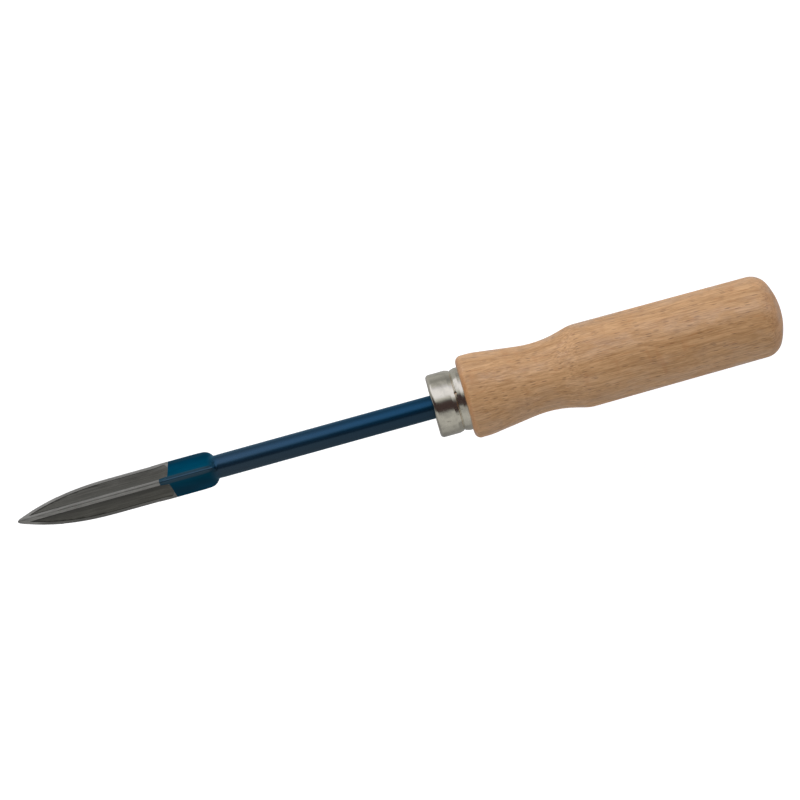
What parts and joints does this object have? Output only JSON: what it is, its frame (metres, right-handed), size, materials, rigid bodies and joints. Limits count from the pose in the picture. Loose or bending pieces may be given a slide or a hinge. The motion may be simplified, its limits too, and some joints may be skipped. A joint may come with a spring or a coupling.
{
  "type": "three-edged hand scraper",
  "caption": "Leaf-shaped three-edged hollow-ground scraper blade on a round blued shank, held by a ferrule in a turned wooden handle.",
  "frame": {"origin": "on the tool's axis, in the middle of the ferrule's plain cylindrical band", "axes": "+X along the axis from the blade's point to the handle's butt; +Z through one of the three cutting edges; one ground face looks down -Z"},
  "size_m": [0.265, 0.0286, 0.0286],
  "materials": {
    "blade_steel": "ground bright on the blade, blued on the shoulder and shank",
    "ferrule_plate": "bright nickel plate",
    "handle_wood": "turned beech with a clear gloss varnish"
  },
  "bodies": {
    "root": {"scraper_blade": "blade_steel", "ferrule": "ferrule_plate", "handle": "handle_wood"}
  },
  "joints": []
}
